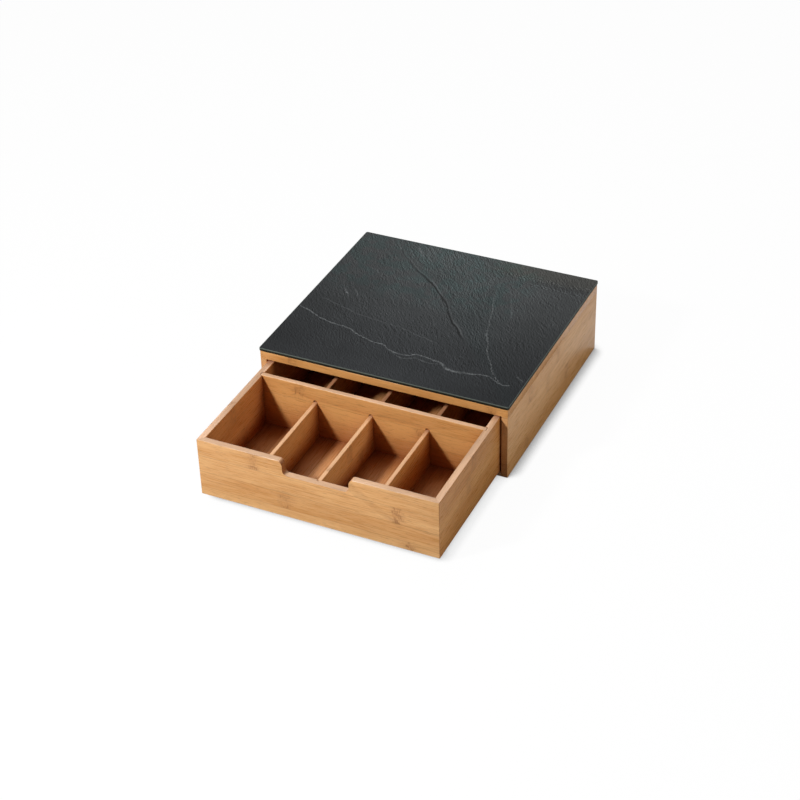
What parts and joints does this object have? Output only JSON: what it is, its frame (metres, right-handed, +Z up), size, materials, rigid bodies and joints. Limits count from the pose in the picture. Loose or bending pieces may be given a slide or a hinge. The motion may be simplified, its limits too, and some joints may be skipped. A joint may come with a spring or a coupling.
{
  "type": "tea bag organizer box",
  "caption": "Low bamboo box with a pull-out drawer divided into tea bag compartments, a finger notch in the drawer front and a dark slate-look glass top.",
  "frame": {"origin": "middle of the case's underside, on the surface that the box stands on", "axes": "+Z up, +Y towards the case's back, so the drawer pulls out towards -Y, +X to the right as seen from the drawer's front"},
  "size_m": [0.3116, 0.4557, 0.098],
  "materials": {
    "bamboo_boards": "satin lacquered bamboo, caramelised",
    "bamboo_panels": "satin lacquered bamboo, a little darker",
    "slate_look_glass": "tempered glass, opaque, slate pattern with fine relief",
    "clear_pads": "clear soft adhesive"
  },
  "bodies": {
    "case": {"case_left_side": "bamboo_boards", "case_right_side": "bamboo_boards", "case_top": "bamboo_boards", "case_bottom": "bamboo_panels", "case_back": "bamboo_panels", "glass_top": "slate_look_glass", "glass_pads": "clear_pads"},
    "drawer": {"drawer_front": "bamboo_boards", "drawer_back": "bamboo_boards", "drawer_left_side": "bamboo_boards", "drawer_right_side": "bamboo_boards", "drawer_bottom": "bamboo_panels", "cross_divider": "bamboo_boards", "front_divider_left": "bamboo_boards", "front_divider_centre": "bamboo_boards", "front_divider_right": "bamboo_boards", "rear_divider_left": "bamboo_boards", "rear_divider_centre": "bamboo_boards", "rear_divider_right": "bamboo_boards"}
  },
  "joints": [
    {"name": "drawer_slide", "type": "slide", "parent": "case", "child": "drawer", "axis": [0, -1, 0], "range_m": [-0.167, 0.058]}
  ]
}
